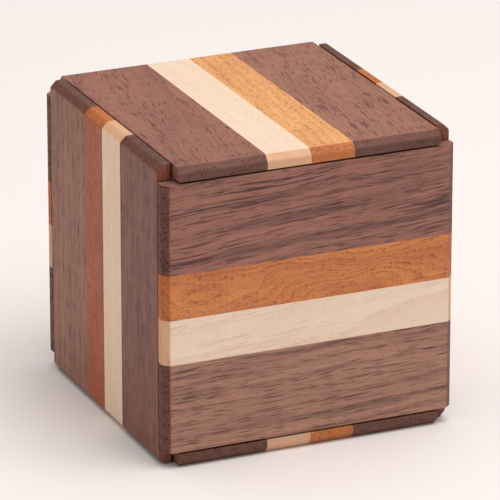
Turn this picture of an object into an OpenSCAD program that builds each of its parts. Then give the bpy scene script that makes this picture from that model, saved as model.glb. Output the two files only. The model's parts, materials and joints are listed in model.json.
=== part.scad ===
// Sliding-panel puzzle box: a cube of six striped panels that ride on dovetails round a walnut
// core. The lid slides right off two long rails. Each of the other panels drops onto four short
// blocks through pockets in its back, slides closed, and is then held by a peg from inside.
// The origin is under the middle of the box, at the height it stands on.
// +X is to the right along the front, +Y to the back, +Z up.

/* [Cube] */
// Edge length of the closed cube
cube_w = 86; // [78:1:120]

/* [Panels] */
// Thickness of a sliding panel
panel_t = 4; // [3.4:0.1:6]
// Open gap between neighbouring panels
panel_gap = 0.6; // [0.3:0.1:1.2]
// Chamfer across the two ends of a panel
end_chamfer = 1.8; // [0.6:0.1:2.2]
// Width of the maple stripe and of the padauk stripe
stripe_w = 12.8; // [8:0.1:15]
// How far a panel slides before it meets its stop
panel_travel = 12; // [10:0.5:15]

/* [Core] */
// Thickness of the floor and of the four walls
core_t = 8; // [7:0.5:11]
// Thickness and reach of the tongues on the side walls
tongue_w = 3; // [2:0.5:3.5]

/* [Dovetails] */
// Height of a dovetail above the core
dove_h = 1.8; // [1.4:0.1:2.4]
// Width of a dovetail where it is glued to the core
dove_w = 3; // [2.4:0.1:4]
// How much wider a dovetail is at its top, on each side
dove_flare = 0.8; // [0.4:0.1:1.2]
// Distance between the end of a lid rail and the part of the core that a slid panel uncovers
rail_inset = 1; // [0.6:0.1:3]
// Length of a dovetail block under a captive panel
block_l = 9; // [6:0.5:11]
// How far a block slides on past its pocket before the panel is closed
block_lock = 1.5; // [1:0.1:3]
// Wood left between the two grooves in one line
groove_web = 3; // [2:0.5:4]

/* [Locking keys] */
// Length of a key
key_l = 20; // [14:1:24]
// Width of a key at its widest, deep in the core
key_w = 5; // [3.6:0.1:5.4]
// Thickness of a key
key_t = 3; // [2:0.1:3.6]
// How much narrower a key is at its outer face, on each side
key_flare = 0.5; // [0.3:0.1:0.8]
// How far a key slides to lock a panel
key_throw = 2.5; // [1.5:0.1:2.8]
// Radius of the fingernail notch in a key
notch_r = 1.6; // [1:0.1:2]
// Depth of the fingernail notch
notch_depth = 0.7; // [0.4:0.1:1]

/* [Stop pegs] */
// Diameter of a stop peg
peg_d = 3; // [2:0.1:4]

/* [Fits] */
// Clearance between a panel's back and the core
run_gap = 0.15; // [0.1:0.05:0.3]
// Clearance of a dovetail or a peg in the back of a panel, on each side and at each end
side_fit = 0.15; // [0.1:0.05:0.3]
// Clearance all round a locking key
key_fit = 0.1; // [0.05:0.05:0.2]
// How far a released key's tip lies inside the core
key_sink = 0.1; // [0.05:0.05:0.3]
// Radial clearance of a glued peg
glue_fit = 0.02; // [0.01:0.01:0.05]

/* [Hidden] */
$fn = 48;

FACES = ["lid", "front", "left", "bottom", "back", "right"];
STRIPS = ["walnut_low", "maple", "padauk", "walnut_high"];
RAILS = ["lid_rail_low", "lid_rail_high"];
WALLS = ["core_front_wall", "core_back_wall", "core_left_wall", "core_right_wall"];
// Faces whose panel can't leave the core
CAPTIVE = ["front", "left", "bottom", "back", "right"];
// Each key: its name, the face it lies under, the side its tip is on, the panel it locks
KEYS = [
    ["lid_key", "front", 1, "lid"],
    ["front_key", "left", -1, "front"],
    ["left_key", "bottom", -1, "left"],
];

WALNUT_TONE = [0.47, 0.33, 0.27];
MAPLE_TONE = [0.92, 0.80, 0.66];
PADAUK_TONE = [0.80, 0.48, 0.24];
CORE_TONE = [0.36, 0.25, 0.21];
STRIP_TONES = [WALNUT_TONE, MAPLE_TONE, PADAUK_TONE, WALNUT_TONE];

half_w = cube_w / 2;
// Half the width of the core, which lies under the panels all round
core_half = half_w - panel_t - run_gap;
// Width of a panel across its stripes, between its two neighbours
panel_w = cube_w - 2 * (panel_t + panel_gap);
// Where each strip of a panel begins and ends, across it
STRIP_EDGES = [-panel_w / 2, -stripe_w, 0, stripe_w, panel_w / 2];
// The blocks lie under the middle of the walnut strips
dove_y = (stripe_w + panel_w / 2) / 2;
// The lid rails stand on the side walls, along their middle
rail_y = core_half - core_t / 2;
rail_half = half_w - panel_travel - rail_inset;
// From where a block stands, how far its groove reaches back, and where its pocket begins
block_run = panel_travel + side_fit;
pocket_at = block_l + block_lock;
groove_l = block_run + pocket_at + block_l + 2 * side_fit;
// Where the blocks of one line start
BLOCK_STARTS = [block_run - groove_l - groove_web / 2, block_run + groove_web / 2];
// A key lies midway between the core's edge and the end of a fully slid panel
key_x = (half_w - panel_travel + core_half) / 2;
peg_y = -stripe_w / 2;
core_base = half_w - core_half;
// Cutters pass this far through the face they open
over = run_gap / 2;

// Slide direction, direction across the stripes and outward direction of a face
function face_axes(f) =
    f == "lid" ? [[0, -1, 0], [1, 0, 0], [0, 0, 1]] :
    f == "bottom" ? [[0, -1, 0], [1, 0, 0], [0, 0, -1]] :
    f == "front" ? [[-1, 0, 0], [0, 0, 1], [0, -1, 0]] :
    f == "back" ? [[-1, 0, 0], [0, 0, 1], [0, 1, 0]] :
    f == "left" ? [[0, 0, 1], [0, 1, 0], [-1, 0, 0]] :
    [[0, 0, 1], [0, 1, 0], [1, 0, 0]];

// Works in a face's own frame: x is the way its panel slides, y goes across the stripes,
// z points outward, and the zero point is the middle of the cube
module on_face(f) {
    a = face_axes(f);
    turn = [for (r = [0:2]) [a[0][r], a[1][r], a[2][r], 0]];
    translate([0, 0, half_w])
        multmatrix(concat(turn, [[0, 0, 0, 1]]))
            children();
}

// Extrudes an outline drawn in x and z from y0 to y1
module span_y(y0, y1) {
    translate([0, y1, 0])
        rotate([90, 0, 0])
            linear_extrude(height = y1 - y0)
                children();
}

// Extrudes an outline drawn in y and z from x0 to x1
module span_x(x0, x1) {
    translate([x0, 0, 0])
        rotate([90, 0, 90])
            linear_extrude(height = x1 - x0)
                children();
}

// Side view of a panel, square at the back and chamfered at both ends of its outer face
module panel_outline() {
    back = half_w - panel_t;
    polygon([
        [-half_w, back],
        [half_w, back],
        [half_w, half_w - end_chamfer],
        [half_w - end_chamfer, half_w],
        [-half_w + end_chamfer, half_w],
        [-half_w, half_w - end_chamfer],
    ]);
}

// Dovetail from x0 to x1, standing on the core
module dovetail(x0, x1) {
    foot = dove_w / 2;
    head = foot + dove_flare;
    span_x(x0, x1)
        polygon([
            [-foot, core_half],
            [foot, core_half],
            [head, core_half + dove_h],
            [-head, core_half + dove_h],
        ]);
}

// Dovetail groove from x0 to x1 in the back of a panel
module dove_groove(x0, x1) {
    foot = dove_w / 2 + side_fit;
    head = foot + dove_flare;
    back = core_half + run_gap;
    span_x(x0, x1)
        polygon([
            [-foot, back - over],
            [foot, back - over],
            [foot, back],
            [head, back + dove_h],
            [-head, back + dove_h],
            [-foot, back],
        ]);
}

// Groove that the lid leaves its rail by: stopped in front, open at the back
module lid_groove() {
    dove_groove(-half_w - over, rail_half + side_fit);
}

// Grooves for one line of blocks, each with a pocket as wide as a block's top
module block_grooves() {
    head = dove_w / 2 + dove_flare + side_fit;
    for (x = BLOCK_STARTS) {
        dove_groove(x - block_run, x + pocket_at + over);
        translate([x + pocket_at, -head, core_half])
            cube([block_l + 2 * side_fit, 2 * head, dove_h + run_gap]);
    }
}

// Round-ended slot in the back of a panel, as long as the panel's travel round a peg
module peg_slot() {
    r = peg_d / 2 + side_fit;
    depth = dove_h + run_gap;
    translate([0, peg_y, core_half]) {
        cylinder(r = r, h = depth);
        translate([-panel_travel, 0, 0])
            cylinder(r = r, h = depth);
        translate([-panel_travel, -r, 0])
            cube([panel_travel, 2 * r, depth]);
    }
}

// Section of a key in the face it lies under, with all its sides moved out by fit
module key_outline(fit, top) {
    inner = key_w / 2 + fit;
    outer = key_w / 2 - key_flare + fit;
    polygon([
        [-inner, core_half - key_t - fit],
        [inner, core_half - key_t - fit],
        [outer, core_half],
        [outer, core_half + top],
        [-outer, core_half + top],
        [-outer, core_half],
    ]);
}

// Channel that a key slides in, from its tail in the core to its tip in the locked panel
module key_way(key) {
    tail = core_half - key_sink - key_l - key_fit;
    tip = core_half - key_sink + key_throw + key_fit;
    on_face(key[1])
        scale([1, key[2], 1])
            translate([-key_x, 0, 0])
                span_y(tail, tip)
                    key_outline(key_fit, over);
}

// Locking key, in its released place with its tip just inside the core
module locking_key(key) {
    tip = core_half - key_sink;
    color(MAPLE_TONE)
        on_face(key[1])
            scale([1, key[2], 1])
                translate([-key_x, 0, 0])
                    difference() {
                        span_y(tip - key_l, tip)
                            key_outline(0, 0);
                        translate([-key_w, tip - key_l / 2, core_half + notch_r - notch_depth])
                            rotate([0, 90, 0])
                                cylinder(r = notch_r, h = 2 * key_w);
                    }
}

// One glued strip of a panel, with its share of the grooves, the slot and the key mortise
module panel_strip(f, i) {
    is_walnut = i == 0 || i == 3;
    color(STRIP_TONES[i])
        difference() {
            on_face(f)
                difference() {
                    span_y(STRIP_EDGES[i], STRIP_EDGES[i + 1])
                        panel_outline();
                    if (is_walnut)
                        translate([0, (i == 0 ? -1 : 1) * (f == "lid" ? rail_y : dove_y), 0]) {
                            if (f == "lid") lid_groove();
                            else block_grooves();
                        }
                    if (STRIPS[i] == "maple" && f != "lid")
                        peg_slot();
                }
            for (key = KEYS)
                if (key[3] == f && is_walnut)
                    key_way(key);
        }
}

// Long dovetail under the lid, on the low or the high side
module lid_rail(side) {
    color(MAPLE_TONE)
        on_face("lid")
            translate([0, side * rail_y, 0])
                dovetail(-rail_half, rail_half);
}

// Short dovetail under a captive panel; blocks 1 and 2 are on the low side
module slide_block(f, i) {
    start = BLOCK_STARTS[(i - 1) % 2];
    color(MAPLE_TONE)
        on_face(f)
            translate([0, i < 3 ? -dove_y : dove_y, 0])
                dovetail(start, start + block_l);
}

// Peg that stands in a panel's slot; it is glued in from inside the core
module stop_peg(f) {
    color(MAPLE_TONE)
        on_face(f)
            translate([0, peg_y, core_half - core_t])
                cylinder(d = peg_d - 2 * glue_fit, h = core_t + dove_h);
}

// Holes for every stop peg, right through the core
module peg_holes() {
    for (f = CAPTIVE)
        on_face(f)
            translate([0, peg_y, core_half - core_t - over])
                cylinder(d = peg_d, h = core_t + 2 * over);
}

// Everything that is cut from the core's boards
module core_cuts() {
    peg_holes();
    for (key = KEYS)
        key_way(key);
}

// Floor board; the walls stand on it
module core_floor() {
    color(CORE_TONE)
        difference() {
            translate([-core_half, -core_half, core_base])
                cube([2 * core_half, 2 * core_half, core_t]);
            core_cuts();
        }
}

// Tongues of both side walls at one end, thickened by fit
module tongues(fit) {
    mid = core_half - core_t / 2;
    for (side = [-1, 1])
        translate([side * mid - tongue_w / 2 - fit, core_half - core_t, core_base + core_t])
            cube([tongue_w + 2 * fit, tongue_w + fit, 2 * core_half - core_t]);
}

// Front or back wall, across the whole core, grooved for the side walls' tongues
module long_wall(side) {
    color(CORE_TONE)
        difference() {
            scale([1, side, 1])
                difference() {
                    translate([-core_half, core_half - core_t, core_base + core_t])
                        cube([2 * core_half, core_t, 2 * core_half - core_t]);
                    translate([0, -over, 0])
                        tongues(0);
                    tongues(glue_fit);
                }
            core_cuts();
        }
}

// Left or right wall, held between the long walls by a tongue at each end
module side_wall(side) {
    inner = core_half - core_t;
    reach = inner + tongue_w;
    height = 2 * core_half - core_t;
    color(CORE_TONE)
        difference() {
            scale([side, 1, 1])
                translate([inner, 0, core_base + core_t]) {
                    translate([0, -inner, 0])
                        cube([core_t, 2 * inner, height]);
                    translate([(core_t - tongue_w) / 2, -reach, 0])
                        cube([tongue_w, 2 * reach, height]);
                }
            core_cuts();
        }
}

for (f = FACES)
    for (i = [0:3])
        panel_strip(f, i);

lid_rail(-1);  // lid_rail_low
lid_rail(1);  // lid_rail_high

for (f = CAPTIVE)
    for (i = [1:4])
        slide_block(f, i);

for (f = CAPTIVE)
    stop_peg(f);

for (key = KEYS)
    locking_key(key);

core_floor();
long_wall(-1);  // core_front_wall
long_wall(1);  // core_back_wall
side_wall(-1);  // core_left_wall
side_wall(1);  // core_right_wall
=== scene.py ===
"""Sliding-panel puzzle box in walnut, maple and padauk, on a pale floor in soft light.

Every board starts as a copy of its own part of the frame. Its edges are eased, and it carries the
place it had in its log, so that one grain pattern shows long grain on the faces and end grain on
the ends.
"""

import json
import logging
import math
from dataclasses import dataclass, field, replace
from enum import Enum

import bmesh
import bpy
from mathutils import Matrix, Vector

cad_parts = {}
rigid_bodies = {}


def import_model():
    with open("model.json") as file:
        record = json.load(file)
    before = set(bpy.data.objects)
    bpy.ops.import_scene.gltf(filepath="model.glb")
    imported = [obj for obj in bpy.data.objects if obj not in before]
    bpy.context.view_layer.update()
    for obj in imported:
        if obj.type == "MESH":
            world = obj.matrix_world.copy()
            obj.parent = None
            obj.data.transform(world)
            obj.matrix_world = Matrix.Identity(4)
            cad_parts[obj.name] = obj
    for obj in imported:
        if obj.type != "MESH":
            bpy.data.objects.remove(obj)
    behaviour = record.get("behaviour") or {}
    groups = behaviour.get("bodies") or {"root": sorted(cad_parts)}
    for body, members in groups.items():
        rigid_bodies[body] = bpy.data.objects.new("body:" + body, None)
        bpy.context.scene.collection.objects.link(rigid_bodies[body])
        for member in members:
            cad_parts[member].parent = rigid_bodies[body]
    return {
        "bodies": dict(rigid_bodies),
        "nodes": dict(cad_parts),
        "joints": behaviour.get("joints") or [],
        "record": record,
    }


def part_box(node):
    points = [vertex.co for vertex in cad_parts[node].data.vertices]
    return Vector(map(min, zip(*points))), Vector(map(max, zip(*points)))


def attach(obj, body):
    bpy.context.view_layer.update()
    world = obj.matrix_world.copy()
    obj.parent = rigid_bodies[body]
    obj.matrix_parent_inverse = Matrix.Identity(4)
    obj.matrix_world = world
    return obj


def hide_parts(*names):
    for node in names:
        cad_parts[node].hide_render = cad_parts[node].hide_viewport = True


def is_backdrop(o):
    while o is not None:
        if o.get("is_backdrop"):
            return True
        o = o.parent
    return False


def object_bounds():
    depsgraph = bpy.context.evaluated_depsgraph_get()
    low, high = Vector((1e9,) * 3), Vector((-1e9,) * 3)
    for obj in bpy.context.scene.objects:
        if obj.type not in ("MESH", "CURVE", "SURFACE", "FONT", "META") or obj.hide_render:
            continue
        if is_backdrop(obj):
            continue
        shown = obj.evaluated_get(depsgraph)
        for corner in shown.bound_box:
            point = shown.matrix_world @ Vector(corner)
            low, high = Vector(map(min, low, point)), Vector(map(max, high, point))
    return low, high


LOG = logging.getLogger("puzzle_box")
MM = 0.001

# Attributes that every board carries for its material
BOARD = "board"
END_GRAIN = "end_grain"
FIGURE = "figure"
HUE = "hue"

Colour = tuple[float, float, float]
Size = tuple[float, float, float]
Axes = tuple[Vector, Vector, Vector]

X = Vector((1, 0, 0)).freeze()
Y = Vector((0, 1, 0)).freeze()
Z = Vector((0, 0, 1)).freeze()
WHITE: Colour = (1.0, 1.0, 1.0)

# Directions count as parallel from this cosine on
PARALLEL = 0.99
# Faces that meet at more than this have an edge that gets eased
SHARP_ANGLE = math.radians(50)
# Faces that meet at more than this are shaded apart
SHADING_ANGLE = math.radians(32)
# Triangles that meet at less than this are one flat face
FLAT_ANGLE = math.radians(0.5)
# Corners closer than this are one corner
MERGE_DISTANCE = 0.002 * MM

# Rounding of the corners beside an end chamfer, of a panel's long edges and of inner pieces
END_STEPS = 6
SIDE_STEPS = 4
EDGE_STEPS = 3

# How far the painted highlight on the arrises reaches from an edge, and how strong it is
HIGHLIGHT_REACH = 0.3 * MM
HIGHLIGHT_AMOUNT = 0.25
# How much wider vessels are on end grain, and how much of the gloss is lost there
END_WIDENING = 0.6
END_DULLING = 0.55
# Share of the open grain's depth that shows
GRAIN_RELIEF = 0.5
# Way along the log from a near board to the board on the opposite face, in millimetres
FURTHER_ALONG = 137.0


class Face(Enum):
    """A face of the cube: the way its panel slides, the way across its stripes, and outward."""

    LID = ("lid", (0, -1, 0), (1, 0, 0), (0, 0, 1))
    FRONT = ("front", (-1, 0, 0), (0, 0, 1), (0, -1, 0))
    LEFT = ("left", (0, 0, 1), (0, 1, 0), (-1, 0, 0))
    BOTTOM = ("bottom", (0, -1, 0), (1, 0, 0), (0, 0, -1))
    BACK = ("back", (-1, 0, 0), (0, 0, 1), (0, 1, 0))
    RIGHT = ("right", (0, 0, 1), (0, 1, 0), (1, 0, 0))

    @property
    def label(self) -> str:
        """Name of the face, as the frame's parts use it."""
        return self.value[0]

    @property
    def body(self) -> str:
        """Body that this face's panel rides on."""
        return "lid" if self is Face.LID else f"{self.label}_panel"

    @property
    def slide(self) -> Vector:
        """Direction in which the panel opens, which is also the way of its grain."""
        return Vector(self.value[1])

    @property
    def across(self) -> Vector:
        """Direction across the stripes."""
        return Vector(self.value[2])

    @property
    def out(self) -> Vector:
        """Direction out of the cube."""
        return Vector(self.value[3])


class Strip(Enum):
    """A strip of a panel, from its low side to its high side."""

    WALNUT_LOW = "walnut_low"
    MAPLE = "maple"
    PADAUK = "padauk"
    WALNUT_HIGH = "walnut_high"

    @property
    def slot(self) -> str:
        """Material slot of the strip's wood."""
        return self.value.split("_")[0]


@dataclass(frozen=True)
class Cut:
    """How one board was cut from its log.

    Attributes:
        pith: Distance of the log's heart from the board, across and in depth, in millimetres.
        start: Place along the log, in millimetres.
        slope: Angle between the grain and the board's length, in degrees.
        warp: How far the grain wanders sideways, in millimetres.
        dive: How far the grain rises and dips through the face, in millimetres.
        bands: Strength of the dark bands and streaks, 1 being the wood's own.
        hue: Colour against the wood's own, 1 in each part being the same.
    """

    pith: tuple[float, float]
    start: float
    slope: float = 0.0
    warp: float = 0.6
    dive: float = 0.8
    bands: float = 1.0
    hue: Colour = (1.0, 1.0, 1.0)


CUTS: dict[tuple[Face, Strip], Cut] = {
    (Face.LID, Strip.WALNUT_LOW): Cut((-14, 42), 20, 7, 2.4, 3.4, 0.5, (0.82, 0.65, 0.59)),
    (Face.LID, Strip.MAPLE): Cut((50, 9), 310, 0, 0.3, 0.5, 0.5, (0.93, 0.97, 1.02)),
    (Face.LID, Strip.PADAUK): Cut((46, 30), 120, 3, 0.5, 1.2, 0.7, (1.2, 1.36, 1.62)),
    (Face.LID, Strip.WALNUT_HIGH): Cut((-30, 46), 250, 5, 1.8, 2.6, 0.5, (0.90, 0.75, 0.67)),
    (Face.FRONT, Strip.WALNUT_LOW): Cut((72, 12), 420, 1.6, 1.0, 1.4, 1.0, (1.09, 1.1, 1.06)),
    (Face.FRONT, Strip.MAPLE): Cut((-8, 60), 75, 5, 0.8, 1.8, 1.3, (0.97, 1.02, 1.12)),
    (Face.FRONT, Strip.PADAUK): Cut((10, 26), 610, 2, 2.6, 7.0, 1.2, (0.99, 0.81, 0.82)),
    (Face.FRONT, Strip.WALNUT_HIGH): Cut((64, 18), 530, 3.6, 1.3, 1.2, 1.5, (0.89, 0.76, 0.76)),
    (Face.LEFT, Strip.WALNUT_LOW): Cut((-68, 14), 700, 1, 0.8, 1.4, 0.7, (0.59, 0.365, 0.285)),
    (Face.LEFT, Strip.MAPLE): Cut((54, 6), 820, 0, 0.3, 0.4, 0.5, (0.94, 0.97, 0.97)),
    (Face.LEFT, Strip.PADAUK): Cut((58, 12), 905, 0, 0.4, 0.8, 0.7, (0.635, 0.276, 0.142)),
    (Face.LEFT, Strip.WALNUT_HIGH): Cut((76, 10), 990, 0.5, 0.5, 0.9, 0.5, (0.835, 0.67, 0.49)),
}


def board_cut(face: Face, strip: Strip) -> Cut:
    """Cut of a strip; the three far faces repeat the near ones from further along the log.

    Args:
        face: Face that the strip's panel covers.
        strip: Which strip of the panel it is.

    Returns:
        The strip's cut.
    """
    opposite = {Face.BOTTOM: Face.LID, Face.BACK: Face.FRONT, Face.RIGHT: Face.LEFT}
    if face not in opposite:
        return CUTS[(face, strip)]
    near = CUTS[(opposite[face], strip)]
    return replace(near, start=near.start + FURTHER_ALONG, slope=-near.slope)


class Graph:
    """A node tree under construction, with short calls for the nodes used here."""

    def __init__(self, tree: bpy.types.NodeTree) -> None:
        """Starts with an empty tree.

        Args:
            tree: Tree to fill.
        """
        self.tree = tree
        self.tree.nodes.clear()

    def add(self, kind: str, inputs: dict | None = None, **settings: object) -> bpy.types.Node:
        """Adds a node.

        Args:
            kind: Blender's name of the node's type.
            inputs: Value or source socket for each named or numbered input.
            **settings: Properties of the node.

        Returns:
            The new node.
        """
        node = self.tree.nodes.new(kind)
        for name, value in settings.items():
            setattr(node, name, value)
        for name, value in (inputs or {}).items():
            self.feed(node.inputs[name], value)
        return node

    def feed(self, socket: bpy.types.NodeSocket, value: object) -> None:
        """Links a source socket to an input, or sets the input's value.

        Args:
            socket: Input to feed.
            value: Source socket, number, colour or vector.
        """
        if isinstance(value, bpy.types.NodeSocket):
            self.tree.links.new(value, socket)
        elif isinstance(value, tuple) and socket.type == "RGBA":
            socket.default_value = (*value, 1.0)
        else:
            socket.default_value = value

    def math(self, operation: str, a: object, b: object = 0.0, clamp: bool = False) -> bpy.types.NodeSocket:
        """Result of a Math node.

        Args:
            operation: Operation's name.
            a: First input.
            b: Second input.
            clamp: Whether the result is kept from 0 to 1.

        Returns:
            The node's output.
        """
        node = self.add("ShaderNodeMath", {0: a, 1: b}, operation=operation, use_clamp=clamp)
        return node.outputs[0]

    def vector(self, operation: str, a: object, b: object) -> bpy.types.NodeSocket:
        """Result of a Vector Math node.

        Args:
            operation: Operation's name.
            a: First vector.
            b: Second vector.

        Returns:
            The node's vector output.
        """
        return self.add("ShaderNodeVectorMath", {0: a, 1: b}, operation=operation).outputs["Vector"]

    def split(self, vector: bpy.types.NodeSocket) -> bpy.types.NodeOutputs:
        """The three parts of a vector."""
        return self.add("ShaderNodeSeparateXYZ", {0: vector}).outputs

    def join(self, x: object, y: object, z: object) -> bpy.types.NodeSocket:
        """A vector made of three parts."""
        return self.add("ShaderNodeCombineXYZ", {0: x, 1: y, 2: z}).outputs[0]

    def patches(self, vector: bpy.types.NodeSocket, size: Size) -> bpy.types.NodeSocket:
        """A place counted in patches of a given size."""
        return self.vector("MULTIPLY", vector, tuple(1 / part for part in size))

    def noise(self, vector: bpy.types.NodeSocket, detail: float = 2.0) -> bpy.types.NodeSocket:
        """Smooth noise with a period of about 1, from 0 to 1."""
        inputs = {"Vector": vector, "Scale": 1.0, "Detail": detail, "Roughness": 0.55}
        return self.add("ShaderNodeTexNoise", inputs).outputs["Fac"]

    def add_group(self, tree: bpy.types.NodeTree, inputs: dict) -> bpy.types.NodeOutputs:
        """Adds a group node.

        Args:
            tree: The group.
            inputs: Value or source socket for each named input.

        Returns:
            The node's outputs.
        """
        node = self.add("ShaderNodeGroup", node_tree=tree)
        for name, value in inputs.items():
            self.feed(node.inputs[name], value)
        return node.outputs

    def ramp(self, value: object, low: object, high: object) -> bpy.types.NodeSocket:
        """Smooth step of a value.

        Args:
            value: What is stepped.
            low: Value that gives 0.
            high: Value that gives 1.

        Returns:
            The step, from 0 to 1.
        """
        inputs = {"Value": value, "From Min": low, "From Max": high}
        return self.add("ShaderNodeMapRange", inputs, interpolation_type="SMOOTHSTEP").outputs["Result"]

    def mix(self, share: object, a: object, b: object, blend: str = "MIX") -> bpy.types.NodeSocket:
        """Mix of two colours.

        Args:
            share: Share of the second colour.
            a: First colour.
            b: Second colour.
            blend: Blend mode.

        Returns:
            The mixed colour.
        """
        inputs = {0: share, 6: a, 7: b}
        return self.add("ShaderNodeMix", inputs, data_type="RGBA", blend_type=blend).outputs[2]


class Group:
    """A shader node group with named sockets, built once and shared by the materials."""

    def __init__(self, name: str, inputs: dict[str, str], outputs: dict[str, str]) -> None:
        """Makes the group and its sockets.

        Args:
            name: Name of the group.
            inputs: Kind of each input: Float, Color or Vector.
            outputs: Kind of each output.
        """
        self.tree = bpy.data.node_groups.new(name, "ShaderNodeTree")
        self.graph = Graph(self.tree)
        for direction, sockets in (("INPUT", inputs), ("OUTPUT", outputs)):
            for label, kind in sockets.items():
                self.tree.interface.new_socket(label, in_out=direction, socket_type=f"NodeSocket{kind}")
        self.source = self.graph.add("NodeGroupInput").outputs

    def close(self, outputs: dict[str, bpy.types.NodeSocket]) -> bpy.types.NodeTree:
        """Wires the results to the group's outputs.

        Args:
            outputs: Result for each named output.

        Returns:
            The finished group.
        """
        self.graph.add("NodeGroupOutput", outputs)
        return self.tree


@dataclass(frozen=True)
class Pattern:
    """Sizes of the parts of the grain: along the log, across it and in depth, in millimetres.

    Attributes:
        wander: Length and width of one bend of the grain.
        dip_offset: Where the dips are taken from, in bends, so that they differ from the sideways bends.
        streak: Length and width of a streak.
        streak_patch: Size of a patch that has streaks.
        fibre: Length and width of a bundle of fibres.
        cloud: Size of a cloudy patch.
        small_vessel_offset: How far the small vessels are moved from the large ones.
        band_length: Length of a dark band.
        bands_per_mm: Number of dark bands in a millimetre of radius.
    """

    wander: Size = (30, 12, 12)
    dip_offset: Size = (7.3, 2.1, 5.7)
    streak: Size = (22, 0.6, 0.6)
    streak_patch: Size = (26, 3.4, 3.4)
    fibre: Size = (6, 0.26, 0.26)
    cloud: Size = (19, 7, 7)
    small_vessel_offset: Size = (31.7, 12.3, 5.9)
    band_length: float = 60.0
    bands_per_mm: float = 0.32


PATTERN = Pattern()


def vessel_group() -> bpy.types.NodeTree:
    """Builds one size of open vessels: thin dashes on long grain, dots on end grain.

    Returns:
        Group that gives a mask of the vessels, 1 inside them.
    """
    group = Group(
        "timber_vessels", {"Place": "Vector", "Length": "Float", "Width": "Float", "Share": "Float"},
        {"Vessel": "Float"},
    )
    graph, source = group.graph, group.source
    x, y, z = graph.split(source["Place"])
    width = source["Width"]
    place = graph.join(
        graph.math("DIVIDE", x, source["Length"]),
        graph.math("DIVIDE", y, width),
        graph.math("DIVIDE", z, width),
    )
    cells = graph.add("ShaderNodeTexVoronoi", {"Vector": place, "Scale": 1.0, "Randomness": 1.0})
    chance = graph.split(cells.outputs["Color"])[0]
    smallest, full_share, faintest = 0.35, 0.35, 0.4
    reach = graph.math("MULTIPLY", source["Share"], graph.math("ADD", chance, smallest))
    inner = graph.math("MULTIPLY", reach, full_share)
    vessel = graph.math("SUBTRACT", 1.0, graph.ramp(cells.outputs["Distance"], inner, reach))
    faded = graph.math("MULTIPLY", vessel, graph.math("ADD", chance, faintest), clamp=True)
    return group.close({"Vessel": faded})


def figure_group(vessels: bpy.types.NodeTree) -> bpy.types.NodeTree:
    """Builds the grain pattern of a log in its own millimetres, with x along the heart.

    Args:
        vessels: The group of one size of vessels.

    Returns:
        Group that gives masks for the rings, bands, streaks, fibres, vessels and cloudy patches.
    """
    group = Group(
        "timber_figure",
        {
            "Board": "Vector", "Warp": "Float", "Dive": "Float", "Ring Width": "Float",
            "Vessel Length": "Float", "Vessel Width": "Float", "Vessel Share": "Float",
        },
        {
            "Ring": "Float", "Band": "Float", "Streak": "Float", "Fibre": "Float", "Vessel": "Float",
            "Cloud": "Float",
        },
    )
    graph, source = group.graph, group.source
    board = source["Board"]

    slow = graph.patches(board, PATTERN.wander)
    sideways = graph.math("SUBTRACT", graph.noise(slow, 1.0), 0.5)
    moved = graph.vector("ADD", slow, PATTERN.dip_offset)
    dip = graph.math("SUBTRACT", graph.noise(moved, 1.0), 0.5)
    wander = graph.join(
        0.0,
        graph.math("MULTIPLY", sideways, graph.math("MULTIPLY", source["Warp"], 2.0)),
        graph.math("MULTIPLY", dip, graph.math("MULTIPLY", source["Dive"], 2.0)),
    )
    bent = graph.vector("ADD", board, wander)
    x, y, z = graph.split(bent)

    squares = graph.math("ADD", graph.math("MULTIPLY", y, y), graph.math("MULTIPLY", z, z))
    radius = graph.math("SQRT", squares)
    rings = graph.math("DIVIDE", radius, source["Ring Width"])
    late_narrowness, ring_contrast = 2.2, 1.6
    late = graph.math("POWER", graph.math("FRACT", rings), late_narrowness)
    ring_strength = graph.noise(graph.join(graph.math("FLOOR", rings), 0.5, 0.5), 0.0)
    ring = graph.math("MULTIPLY", late, graph.math("MULTIPLY", ring_strength, ring_contrast), clamp=True)

    band_along = graph.math("DIVIDE", x, PATTERN.band_length)
    band_out = graph.math("MULTIPLY", radius, PATTERN.bands_per_mm)
    band = graph.ramp(graph.noise(graph.join(band_along, band_out, 0.0), 3.0), 0.46, 0.70)

    streak_line = graph.ramp(graph.noise(graph.patches(bent, PATTERN.streak), 2.5), 0.50, 0.68)
    streak_patch = graph.ramp(graph.noise(graph.patches(bent, PATTERN.streak_patch)), 0.32, 0.62)
    streak = graph.math("MULTIPLY", streak_line, streak_patch)

    fibre = graph.ramp(graph.noise(graph.patches(bent, PATTERN.fibre), 3.0), 0.25, 0.75)

    early_crowding, late_crowding = 0.75, 0.6
    crowding = graph.math("ADD", early_crowding, graph.math("MULTIPLY", late, late_crowding))
    share = graph.math("MULTIPLY", source["Vessel Share"], crowding)
    sizes = {"large": (1.0, 1.0, (0.0, 0.0, 0.0)), "small": (0.62, 0.66, PATTERN.small_vessel_offset)}
    small_strength = 0.75
    masks = {}
    for name, (length_share, width_share, offset) in sizes.items():
        length = graph.math("MULTIPLY", source["Vessel Length"], length_share)
        width = graph.math("MULTIPLY", source["Vessel Width"], width_share)
        inputs = {
            "Place": graph.vector("ADD", bent, offset), "Length": length, "Width": width, "Share": share,
        }
        masks[name] = graph.add_group(vessels, inputs)["Vessel"]
    small = graph.math("MULTIPLY", masks["small"], small_strength)
    vessel = graph.math("MAXIMUM", masks["large"], small)

    cloud = graph.ramp(graph.noise(graph.patches(board, PATTERN.cloud), 3.0), 0.3, 0.7)
    return group.close(
        {"Ring": ring, "Band": band, "Streak": streak, "Fibre": fibre, "Vessel": vessel, "Cloud": cloud}
    )


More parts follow.
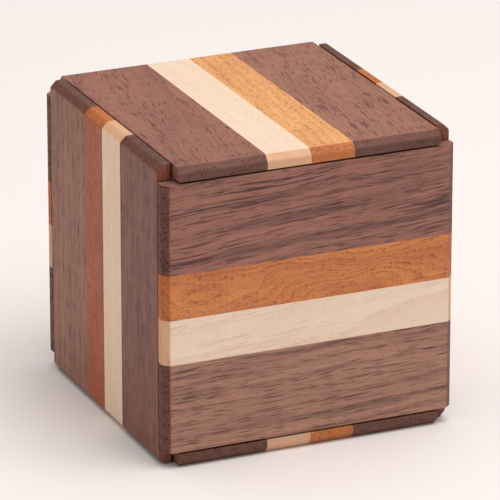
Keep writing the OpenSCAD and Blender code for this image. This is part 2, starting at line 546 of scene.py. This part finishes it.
def colour_group() -> bpy.types.NodeTree:
    """Builds the colouring of a wood from the masks of its grain.

    Returns:
        Group that gives the surface's colour, roughness and height.
    """
    group = Group(
        "timber_colour",
        {
            "Ring": "Float", "Band": "Float", "Streak": "Float", "Fibre": "Float", "Vessel": "Float",
            "Cloud": "Float", "Ring Amount": "Float", "Band Amount": "Float", "Streak Amount": "Float",
            "Fibre Amount": "Float", "Vessel Amount": "Float", "Cloud Amount": "Float",
            "End Grain": "Float", "Hue": "Color", "Pale": "Color", "Deep": "Color",
            "Band Colour": "Color", "Streak Colour": "Color", "Vessel Colour": "Color",
            "Slant Tint": "Color", "End Tint": "Color", "Sheen Roughness": "Float",
        },
        {"Color": "Color", "Roughness": "Float", "Height": "Float"},
    )
    graph, source = group.graph, group.source

    def scaled(mask: str) -> bpy.types.NodeSocket:
        """A mask times its amount."""
        return graph.math("MULTIPLY", source[mask], source[f"{mask} Amount"], clamp=True)

    ringed = graph.mix(scaled("Ring"), source["Pale"], source["Deep"])
    clouded = graph.mix(scaled("Cloud"), ringed, source["Deep"])
    banded = graph.mix(scaled("Band"), clouded, source["Band Colour"])
    streaked = graph.mix(scaled("Streak"), banded, source["Streak Colour"])
    fibre_dark = graph.mix(0.5, source["Deep"], WHITE)
    fibred = graph.mix(scaled("Fibre"), streaked, fibre_dark, "MULTIPLY")
    pored = graph.mix(scaled("Vessel"), fibred, source["Vessel Colour"])

    # Share of a board's own hue that slanting and end grain lose
    hue_loss = 0.9
    slant = graph.ramp(source["End Grain"], 0.20, 0.68)
    end = graph.ramp(source["End Grain"], 0.76, 0.98)
    tint = graph.mix(end, source["Slant Tint"], source["End Tint"])
    ended = graph.mix(slant, pored, tint, "MULTIPLY")
    hue = graph.mix(graph.math("MULTIPLY", slant, hue_loss), source["Hue"], WHITE)
    hued = graph.mix(1.0, ended, hue, "MULTIPLY")

    rougher = (
        graph.math("MULTIPLY", graph.math("SUBTRACT", source["Fibre"], 0.5), 0.10),
        graph.math("MULTIPLY", source["Vessel"], 0.22),
        graph.math("MULTIPLY", graph.math("SUBTRACT", source["Cloud"], 0.5), 0.06),
        graph.math("MULTIPLY", end, 0.12),
    )
    rough = source["Sheen Roughness"]
    for change in rougher:
        rough = graph.math("ADD", rough, change, clamp=True)

    fibre_depth = 0.3
    sunk = graph.math("MULTIPLY", source["Fibre"], -fibre_depth)
    height = graph.math("SUBTRACT", sunk, scaled("Vessel"))
    return group.close({"Color": hued, "Roughness": rough, "Height": height})


def wear_group() -> bpy.types.NodeTree:
    """Builds a painted highlight on arrises, with a little less roughness there.

    Returns:
        Group that lightens a colour where the surface turns, as a painted highlight, and lowers the
        roughness there.
    """
    group = Group(
        "painted_edge_highlight",
        {"Color": "Color", "Roughness": "Float", "Reach": "Float", "Amount": "Float", "Board": "Vector"},
        {"Color": "Color", "Roughness": "Float"},
    )
    graph, source = group.graph, group.source
    rounded = graph.add("ShaderNodeBevel", {"Radius": source["Reach"]}, samples=4).outputs[0]
    true = graph.add("ShaderNodeNewGeometry").outputs["Normal"]
    dot = graph.add("ShaderNodeVectorMath", {0: rounded, 1: true}, operation="DOT_PRODUCT")
    turn = dot.outputs["Value"]
    flat, fully_turned = 0.995, 0.86
    edge = graph.ramp(turn, flat, fully_turned)
    place = graph.vector("MULTIPLY", source["Board"], (0.3, 0.9, 0.9))
    patchy = graph.ramp(graph.noise(place, 3.0), 0.3, 0.6)
    painted_highlight = graph.math("MULTIPLY", graph.math("MULTIPLY", edge, patchy), source["Amount"])
    # Painted highlight: a warm light tint laid on the arrises, in patches
    lighter = graph.mix(painted_highlight, source["Color"], (1.0, 0.93, 0.86), "SOFT_LIGHT")
    polish = graph.math("MULTIPLY", painted_highlight, 0.12)
    smoother = graph.math("SUBTRACT", source["Roughness"], polish, clamp=True)
    return group.close({"Color": lighter, "Roughness": smoother})


@dataclass(frozen=True)
class Strengths:
    """How strongly each part of the grain shows, from 0 to 1."""

    ring: float
    band: float
    streak: float
    fibre: float
    vessel: float
    cloud: float


@dataclass(frozen=True)
class WoodFinish:
    """A wood under an oil finish.

    Attributes:
        slot: Material slot, and the material's name.
        pale: Colour of the early wood.
        deep: Colour of the late wood and of the cloudy patches.
        band: Colour of the dark bands.
        streak: Colour of the narrow streaks.
        vessel: Colour inside the vessels.
        slant_tint: What the colour is multiplied by on grain cut at a slant.
        end_tint: What the colour is multiplied by on end grain.
        ring_width: Distance between two rings, in millimetres.
        vessel_size: Length and spacing of the vessels, in millimetres.
        vessel_share: Size of a vessel in its own cell.
        strengths: How strongly each part of the grain shows.
        roughness: Roughness of the oiled surface.
        depth: Depth of the open grain, in millimetres.
        gloss: Strength of the oil's own reflection.
    """

    slot: str
    pale: Colour
    deep: Colour
    band: Colour
    streak: Colour
    vessel: Colour
    slant_tint: Colour
    end_tint: Colour
    ring_width: float
    vessel_size: tuple[float, float]
    vessel_share: float
    strengths: Strengths
    roughness: float = 0.46
    depth: float = 0.05
    gloss: float = 0.4

    def material(self, groups: dict[str, bpy.types.NodeTree]) -> bpy.types.Material:
        """Builds the wood's material.

        Args:
            groups: The shared node groups.

        Returns:
            The material.
        """
        material = bpy.data.materials.new(self.slot)
        material.use_nodes = True
        graph = Graph(material.node_tree)
        board = graph.add("ShaderNodeAttribute", attribute_name=BOARD).outputs["Vector"]
        end = graph.add("ShaderNodeAttribute", attribute_name=END_GRAIN).outputs["Fac"]
        hue = graph.add("ShaderNodeAttribute", attribute_name=HUE).outputs["Vector"]
        cut = graph.add("ShaderNodeAttribute", attribute_name=FIGURE).outputs["Vector"]
        warp, dive, bands = graph.split(cut)

        length, width = self.vessel_size
        widening = graph.math("ADD", graph.math("MULTIPLY", end, END_WIDENING), 1.0)
        open_width = graph.math("MULTIPLY", widening, width)
        sizes = {
            "Board": board, "Warp": warp, "Dive": dive, "Ring Width": self.ring_width,
            "Vessel Length": length, "Vessel Width": open_width, "Vessel Share": self.vessel_share,
        }
        figure = graph.add_group(groups["figure"], sizes)

        shows = self.strengths
        values = {name: figure[name] for name in ("Ring", "Band", "Streak", "Fibre", "Vessel", "Cloud")}
        values |= {
            "Ring Amount": graph.math("MULTIPLY", bands, shows.ring),
            "Band Amount": graph.math("MULTIPLY", bands, shows.band),
            "Streak Amount": graph.math("MULTIPLY", bands, shows.streak),
            "Fibre Amount": shows.fibre, "Vessel Amount": shows.vessel, "Cloud Amount": shows.cloud,
            "End Grain": end, "Hue": hue, "Pale": self.pale, "Deep": self.deep, "Band Colour": self.band,
            "Streak Colour": self.streak, "Vessel Colour": self.vessel, "Slant Tint": self.slant_tint,
            "End Tint": self.end_tint, "Sheen Roughness": self.roughness,
        }
        colour = graph.add_group(groups["colour"], values)
        # Painted highlight: the arrises are lightened, and made a little less rough
        edges = {
            "Color": colour["Color"], "Roughness": colour["Roughness"], "Reach": HIGHLIGHT_REACH,
            "Amount": HIGHLIGHT_AMOUNT, "Board": board,
        }
        painted_highlight = graph.add_group(groups["painted_highlight"], edges)

        bump = graph.add(
            "ShaderNodeBump",
            {"Strength": GRAIN_RELIEF, "Distance": self.depth * MM, "Height": colour["Height"]},
        )
        dull = graph.math("SUBTRACT", 1.0, graph.math("MULTIPLY", end, END_DULLING))
        shader = graph.add(
            "ShaderNodeBsdfPrincipled",
            {
                "Base Color": painted_highlight["Color"], "Roughness": painted_highlight["Roughness"],
                "Specular IOR Level": graph.math("MULTIPLY", dull, self.gloss),
                "Normal": bump.outputs["Normal"],
            },
        )
        graph.add("ShaderNodeOutputMaterial", {"Surface": shader.outputs[0]})
        return material


WALNUT = WoodFinish(
    slot="walnut", pale=(0.385, 0.195, 0.138), deep=(0.270, 0.130, 0.095), band=(0.170, 0.080, 0.066),
    streak=(0.085, 0.038, 0.036), vessel=(0.050, 0.022, 0.020), slant_tint=(0.45, 0.315, 0.285),
    end_tint=(0.43, 0.415, 0.455), ring_width=3.4, vessel_size=(8.0, 0.42), vessel_share=0.38,
    strengths=Strengths(0.40, 0.55, 0.80, 0.34, 0.80, 0.40),
)
MAPLE = WoodFinish(
    slot="maple", pale=(0.86, 0.655, 0.475), deep=(0.79, 0.560, 0.385), band=(0.74, 0.50, 0.34),
    streak=(0.66, 0.43, 0.29), vessel=(0.52, 0.33, 0.21), slant_tint=(0.79, 0.62, 0.52),
    end_tint=(0.76, 0.59, 0.52), ring_width=2.8, vessel_size=(2.2, 0.34), vessel_share=0.34,
    strengths=Strengths(0.40, 0.25, 0.45, 0.24, 0.36, 0.30),
    depth=0.015,
)
PADAUK = WoodFinish(
    slot="padauk", pale=(0.66, 0.300, 0.085), deep=(0.52, 0.195, 0.062), band=(0.42, 0.130, 0.038),
    streak=(0.34, 0.095, 0.030), vessel=(0.12, 0.030, 0.010), slant_tint=(0.78, 0.56, 0.46),
    end_tint=(0.82, 0.66, 0.74), ring_width=1.15, vessel_size=(1.8, 0.34), vessel_share=0.42,
    strengths=Strengths(0.60, 0.35, 0.35, 0.26, 0.66, 0.55),
)
CORE_WALNUT = WoodFinish(
    slot="core_walnut", pale=(0.235, 0.120, 0.088), deep=(0.155, 0.076, 0.058), band=(0.105, 0.050, 0.042),
    streak=(0.060, 0.028, 0.025), vessel=(0.040, 0.020, 0.018), slant_tint=(0.50, 0.42, 0.42),
    end_tint=(0.50, 0.48, 0.50), ring_width=4.0, vessel_size=(8.5, 0.55), vessel_share=0.36,
    strengths=Strengths(0.45, 0.60, 0.60, 0.30, 0.65, 0.45),
    roughness=0.55,
)
RAIL_MAPLE = WoodFinish(
    slot="rail_maple", pale=(0.78, 0.560, 0.370), deep=(0.68, 0.450, 0.275), band=(0.62, 0.39, 0.24),
    streak=(0.54, 0.33, 0.20), vessel=(0.44, 0.26, 0.15), slant_tint=(0.80, 0.64, 0.54),
    end_tint=(0.76, 0.58, 0.48), ring_width=2.4, vessel_size=(2.6, 0.36), vessel_share=0.30,
    strengths=Strengths(0.40, 0.30, 0.35, 0.18, 0.30, 0.25),
    roughness=0.38, depth=0.015,
)
KEY_MAPLE = WoodFinish(
    slot="key_maple", pale=(0.80, 0.560, 0.340), deep=(0.68, 0.440, 0.240), band=(0.60, 0.36, 0.20),
    streak=(0.52, 0.30, 0.16), vessel=(0.42, 0.24, 0.13), slant_tint=(0.78, 0.62, 0.52),
    end_tint=(0.74, 0.56, 0.46), ring_width=2.0, vessel_size=(2.2, 0.34), vessel_share=0.32,
    strengths=Strengths(0.40, 0.35, 0.35, 0.20, 0.30, 0.30),
    roughness=0.36, depth=0.015,
)
FINISHES = (WALNUT, MAPLE, PADAUK, CORE_WALNUT, RAIL_MAPLE, KEY_MAPLE)


@dataclass
class Workshop:
    """The loaded frame and the materials that its boards are dressed in.

    Attributes:
        materials: Material of each slot.
    """

    frame: dict
    materials: dict[str, bpy.types.Material] = field(default_factory=dict)

    def mix_finishes(self) -> None:
        """Builds the shared node groups and one material for each slot."""
        # The last group lays a painted highlight on the arrises
        groups = {"figure": figure_group(vessel_group()), "colour": colour_group(), "painted_highlight": wear_group()}
        for finish in FINISHES:
            self.materials[finish.slot] = finish.material(groups)

    def blank(self, node: str) -> bmesh.types.BMesh:
        """Takes a copy of a frame part, merged and with its flat faces made whole.

        Args:
            node: Name of the part.

        Returns:
            The copy as a bmesh.
        """
        mesh = bmesh.new()
        mesh.from_mesh(self.frame["nodes"][node].data)
        bmesh.ops.remove_doubles(mesh, verts=mesh.verts[:], dist=MERGE_DISTANCE)
        bmesh.ops.dissolve_limit(
            mesh, angle_limit=FLAT_ANGLE, verts=mesh.verts[:], edges=mesh.edges[:], delimit=set()
        )
        return mesh

    def finish_board(
        self,
        mesh: bmesh.types.BMesh,
        node: str,
        body: str,
        slot: str,
        axes: Axes,
        cut: Cut,
    ) -> None:
        """Turns a shaped board into a piece of the object.

        Args:
            mesh: The shaped board, which is freed.
            node: Frame part that the board stands for.
            body: Body that it rides on.
            slot: Its material slot.
            axes: Directions along the grain, across the board and through it.
            cut: How the board was cut from its log.
        """
        along, across, out = axes
        name = f"{node}_board"
        data = bpy.data.meshes.new(name)
        ends = [abs(face.normal.dot(along)) for face in mesh.faces]
        mesh.to_mesh(data)
        mesh.free()
        turn = Matrix.Rotation(math.radians(cut.slope), 3, "Z")
        heart = Vector((cut.start, *cut.pith))
        places = []
        for vertex in data.vertices:
            flat = Vector((vertex.co.dot(along), vertex.co.dot(across), vertex.co.dot(out))) / MM
            places.extend(turn @ flat + heart)
        count = len(data.vertices)
        data.attributes.new(BOARD, "FLOAT_VECTOR", "POINT").data.foreach_set("vector", places)
        data.attributes.new(FIGURE, "FLOAT_VECTOR", "POINT").data.foreach_set(
            "vector", [cut.warp, cut.dive, cut.bands] * count
        )
        data.attributes.new(HUE, "FLOAT_VECTOR", "POINT").data.foreach_set("vector", [*cut.hue] * count)
        data.attributes.new(END_GRAIN, "FLOAT", "FACE").data.foreach_set("value", ends)
        data.shade_smooth()
        data.set_sharp_from_angle(angle=SHADING_ANGLE)
        piece = bpy.data.objects.new(name, data)
        bpy.context.scene.collection.objects.link(piece)
        data.materials.append(self.materials[slot])
        normals = piece.modifiers.new("flat_faces", "WEIGHTED_NORMAL")
        normals.keep_sharp = True
        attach(piece, body)
        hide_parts(node)
        LOG.info("%s: %d faces, on %s", name, len(data.polygons), body)


def ease(mesh: bmesh.types.BMesh, edges: list[bmesh.types.BMEdge], radius: float, steps: int) -> None:
    """Rounds some edges of a board.

    Args:
        mesh: The board.
        edges: Edges to round.
        radius: How far the rounding reaches from the edge, in metres.
        steps: Number of faces round the curve.
    """
    bmesh.ops.bevel(
        mesh, geom=edges, offset=radius, offset_type="OFFSET", segments=steps, profile=0.5,
        affect="EDGES", material=-1, clamp_overlap=True, loop_slide=True,
    )


def ease_all(mesh: bmesh.types.BMesh, radius: float) -> None:
    """Rounds every edge of a board that points outward.

    Args:
        mesh: The board.
        radius: How far the rounding reaches from each edge, in metres.
    """
    paired = [e for e in mesh.edges if len(e.link_faces) == 2]
    sharp = [e for e in paired if e.calc_face_angle_signed() > SHARP_ANGLE]
    ease(mesh, sharp, radius, EDGE_STEPS)


@dataclass
class Panel:
    """A sliding panel of four glued strips.

    Attributes:
        shop: Workshop that the panel is made in.
        face: Face of the cube that it covers.
        end_ease: Rounding of the two corners of each end chamfer, in metres.
        side_ease: Rounding of the panel's long edges, in metres.
    """

    shop: Workshop
    face: Face
    end_ease: float = 0.4 * MM
    side_ease: float = 0.25 * MM

    def build(self) -> None:
        """Shapes and dresses every strip."""
        low = min(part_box(self.node(s))[0].dot(self.face.across) for s in Strip)
        high = max(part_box(self.node(s))[1].dot(self.face.across) for s in Strip)
        for strip in Strip:
            mesh = self.shop.blank(self.node(strip))
            self.ease_ends(mesh)
            self.ease_sides(mesh, (low, high))
            axes = (self.face.slide, self.face.across, self.face.out)
            cut = board_cut(self.face, strip)
            self.shop.finish_board(mesh, self.node(strip), self.face.body, strip.slot, axes, cut)

    def node(self, strip: Strip) -> str:
        """Name of a strip's part in the frame."""
        return f"{self.face.label}_{strip.value}"

    def ease_ends(self, mesh: bmesh.types.BMesh) -> None:
        """Rounds the corners above and below the chamfers, straight across the strip.

        Args:
            mesh: The strip.
        """
        chamfers = [f for f in mesh.faces if self.is_chamfer(f)]
        edges = set()
        for face in chamfers:
            for edge in face.edges:
                run = (edge.verts[1].co - edge.verts[0].co).normalized()
                if abs(run.dot(self.face.across)) > PARALLEL and not self.is_grooved_end(edge):
                    edges.add(edge)
        ease(mesh, list(edges), self.end_ease, END_STEPS)

    def is_grooved_end(self, edge: bmesh.types.BMEdge) -> bool:
        """Whether an edge borders the lid's back end, where the grooves come out."""
        to_back = [f for f in edge.link_faces if f.normal.dot(self.face.slide) < -PARALLEL]
        return self.face is Face.LID and bool(to_back)

    def is_chamfer(self, face: bmesh.types.BMFace) -> bool:
        """Whether a face slopes between the panel's outer face and an end."""
        return face.normal.dot(self.face.out) > 0.5 and abs(face.normal.dot(self.face.slide)) > 0.5

    def ease_sides(self, mesh: bmesh.types.BMesh, limits: tuple[float, float]) -> None:
        """Rounds the outline of the panel's own long sides, and leaves the glued sides sharp.

        Args:
            mesh: The strip.
            limits: Where the panel's two sides are, across it.
        """
        near = 0.01 * MM
        edges = set()
        for face in mesh.faces:
            place = face.calc_center_median().dot(self.face.across)
            is_side = abs(face.normal.dot(self.face.across)) > PARALLEL
            if is_side and min(abs(place - limit) for limit in limits) < near:
                edges.update(face.edges)
        if edges:
            ease(mesh, list(edges), self.side_ease, SIDE_STEPS)


@dataclass
class Core:
    """The walnut core, with the dovetails and pegs that are glued to it.

    Attributes:
        shop: Workshop that the core is made in.
        edge_ease: Rounding of every sharp edge, in metres.
    """

    shop: Workshop
    edge_ease: float = 0.22 * MM

    def build(self) -> None:
        """Shapes and dresses the boards, rails, blocks and pegs."""
        boards = {
            "core_floor": ((X, Y, Z), Cut((22, 58), 40, 1, 0.9, 1.6)),
            "core_front_wall": ((X, Z, Y), Cut((50, 30), 160, 1, 0.9, 1.4)),
            "core_back_wall": ((X, Z, Y), Cut((50, 34), 300, -1, 0.9, 1.4)),
            "core_left_wall": ((Y, Z, X), Cut((46, 28), 440, 1, 0.9, 1.4)),
            "core_right_wall": ((Y, Z, X), Cut((46, 36), 580, -1, 0.9, 1.4)),
        }
        for node, (axes, cut) in boards.items():
            self.make(node, "core_walnut", axes, cut)
        for side in ("low", "high"):
            self.make_fitting(f"lid_rail_{side}", Face.LID)
        for face in (Face.FRONT, Face.LEFT, Face.BOTTOM, Face.BACK, Face.RIGHT):
            for number in range(1, 5):
                self.make_fitting(f"{face.label}_block_{number}", face)
            self.make_fitting(f"{face.label}_stop_peg", face, is_peg=True)

    def make_fitting(self, node: str, face: Face, is_peg: bool = False) -> None:
        """Makes a maple fitting of a face.

        Args:
            node: Its part in the frame.
            face: Face that it belongs to.
            is_peg: Whether its grain runs through the face, as a peg's does.
        """
        axes = (face.slide, face.across, face.out)
        if is_peg:
            axes = (face.out, face.slide, face.across)
        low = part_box(node)[0] / MM
        start = low.x + 2 * low.y + 3 * low.z
        self.make(node, "rail_maple", axes, Cut((30, 12), start))

    def make(self, node: str, slot: str, axes: Axes, cut: Cut) -> None:
        """Makes one piece of the core.

        Args:
            node: Its part in the frame.
            slot: Its material slot.
            axes: Directions along the grain, across the board and through it.
            cut: How it was cut from its log.
        """
        mesh = self.shop.blank(node)
        ease_all(mesh, self.edge_ease)
        self.shop.finish_board(mesh, node, "core", slot, axes, cut)


@dataclass
class Key:
    """A locking key in its channel.

    Attributes:
        shop: Workshop that the key is made in.
        name: Name of the key's part and body.
        axes: Directions along the grain, across the key and through it.
        edge_ease: Rounding of the key's edges, in metres.
    """

    shop: Workshop
    name: str
    axes: Axes
    edge_ease: float = 0.25 * MM

    def build(self) -> None:
        """Shapes and dresses the key."""
        mesh = self.shop.blank(self.name)
        ease_all(mesh, self.edge_ease)
        start = (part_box(self.name)[0] / MM).length
        self.shop.finish_board(mesh, self.name, self.name, "key_maple", self.axes, Cut((26, 14), start))


@dataclass
class Studio:
    """Floor, light and camera.

    Attributes:
        width: Edge length of the box, in metres.
        reach: Half the width of the floor, in widths of the box.
        rise: Height of the sweep's back, in widths of the box.
        bend: Reach of the curve between floor and back, in widths of the box.
        bend_steps: Number of faces round that curve.
        azimuth: Turn of the camera to the left of the front, in degrees.
        elevation: Angle of the camera above the floor, in degrees.
        distance: Distance of the camera, in widths of the box.
        aside: How far right of the box's middle the camera aims, in widths of the box.
        above: How far above the box's middle the camera aims, in widths of the box.
        lens: Focal length on a frame 36 mm wide, in millimetres.
        room_colour: Colour of the light from the room.
        room_strength: Strength of the light from the room.
        lamp_colour: Colour of the lamps.
    """

    width: float
    reach: float = 40.0
    rise: float = 25.0
    bend: float = 12.0
    bend_steps: int = 16
    azimuth: float = 23.66
    elevation: float = 20.555
    distance: float = 16.009
    aside: float = 0.0092
    above: float = -0.0053
    lens: float = 357.4
    room_colour: Colour = (1.0, 0.965, 0.945)
    room_strength: float = 0.57
    lamp_colour: Colour = (1.0, 0.965, 0.93)

    def build(self) -> None:
        """Lays the floor, hangs the lights and sets the camera up."""
        self.lay_floor()
        self.light()
        self.place_camera()

    def lay_floor(self) -> None:
        """Lays a pale sweep of paper that rises far behind the box."""
        mesh = bmesh.new()
        bmesh.ops.create_grid(mesh, x_segments=1, y_segments=1, size=self.reach * self.width)
        back = [e for e in mesh.edges if all(v.co.y > 0 for v in e.verts)]
        lifted = bmesh.ops.extrude_edge_only(mesh, edges=back)["geom"]
        verts = [item for item in lifted if isinstance(item, bmesh.types.BMVert)]
        bmesh.ops.translate(mesh, verts=verts, vec=Z * self.rise * self.width)
        ease(mesh, back, self.bend * self.width, self.bend_steps)
        data = bpy.data.meshes.new("floor")
        mesh.to_mesh(data)
        mesh.free()
        data.shade_smooth()
        floor = bpy.data.objects.new("floor", data)
        bpy.context.scene.collection.objects.link(floor)
        data.materials.append(self.paper())
        floor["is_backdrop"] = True

    def paper(self) -> bpy.types.Material:
        """Builds the sweep's material, a matt paper with a faint tooth.

        Returns:
            The material.
        """
        material = bpy.data.materials.new("paper")
        material.use_nodes = True
        graph = Graph(material.node_tree)
        place = graph.add("ShaderNodeTexCoord").outputs["Object"]
        tooth_per_metre, mottle_per_metre = 1400.0, 14.0
        tooth = graph.noise(graph.vector("MULTIPLY", place, (tooth_per_metre,) * 3), 3.0)
        mottle = graph.noise(graph.vector("MULTIPLY", place, (mottle_per_metre,) * 3))
        colour = graph.mix(mottle, (0.816, 0.780, 0.770), (0.826, 0.790, 0.780))
        bump = graph.add("ShaderNodeBump", {"Strength": 0.25, "Distance": 0.03 * MM, "Height": tooth})
        shader = graph.add(
            "ShaderNodeBsdfPrincipled",
            {
                "Base Color": colour, "Roughness": 0.85, "Specular IOR Level": 0.1,
                "Normal": bump.outputs["Normal"],
            },
        )
        graph.add("ShaderNodeOutputMaterial", {"Surface": shader.outputs[0]})
        return material

    def light(self) -> None:
        """Hangs a soft key lamp over the right front and a larger one overhead, in a bright room."""
        world = bpy.data.worlds.new("room")
        bpy.context.scene.world = world
        world.use_nodes = True
        background = world.node_tree.nodes["Background"]
        background.inputs["Color"].default_value = (*self.room_colour, 1.0)
        background.inputs["Strength"].default_value = self.room_strength
        self.lamp("key", (0.28, -0.40, 1.05), 0.8, 6.9)
        self.lamp("top", (0.0, 0.25, 1.50), 1.6, 9.0)

    def lamp(self, name: str, place: tuple[float, float, float], size: float, power: float) -> None:
        """Hangs a square lamp that faces the box.

        Args:
            name: Name of the lamp.
            place: Where it hangs, in metres.
            size: Edge length, in metres.
            power: Power in watts.
        """
        data = bpy.data.lights.new(name, "AREA")
        data.size = size
        data.energy = power
        data.color = self.lamp_colour
        lamp = bpy.data.objects.new(name, data)
        bpy.context.scene.collection.objects.link(lamp)
        lamp.location = place
        aim = Z * self.width / 2 - Vector(place)
        lamp.rotation_euler = aim.to_track_quat("-Z", "Y").to_euler()

    def place_camera(self) -> None:
        """Sets a long lens on the front left corner, a little above the box."""
        azimuth, elevation = math.radians(-self.azimuth), math.radians(self.elevation)
        flat = math.cos(elevation)
        back = Vector((math.sin(azimuth) * flat, -math.cos(azimuth) * flat, math.sin(elevation)))
        right = Vector((math.cos(azimuth), math.sin(azimuth), 0))
        up = back.cross(right)
        aim = (Z / 2 + right * self.aside + up * self.above) * self.width
        data = bpy.data.cameras.new("camera")
        data.sensor_width = 36.0
        data.lens = self.lens
        data.clip_end = 100.0
        camera = bpy.data.objects.new("camera", data)
        bpy.context.scene.collection.objects.link(camera)
        turn = Matrix((right, up, back)).transposed().to_4x4()
        place = aim + back * self.distance * self.width
        camera.matrix_world = Matrix.Translation(place) @ turn
        bpy.context.scene.camera = camera


def main() -> None:
    """Builds the box and its surroundings."""
    logging.basicConfig(level=logging.INFO, format="%(message)s")
    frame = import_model()
    cad_box = [list(corner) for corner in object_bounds()]
    width = cad_box[1][0] - cad_box[0][0]
    bpy.context.scene.view_settings.view_transform = "Standard"

    shop = Workshop(frame)
    shop.mix_finishes()
    for face in Face:
        Panel(shop, face).build()
    Core(shop).build()
    Key(shop, "lid_key", (Z, X, Y)).build()
    Key(shop, "front_key", (Y, Z, X)).build()
    Key(shop, "left_key", (X, Y, Z)).build()
    Studio(width).build()


if __name__ == "__main__":
    main()
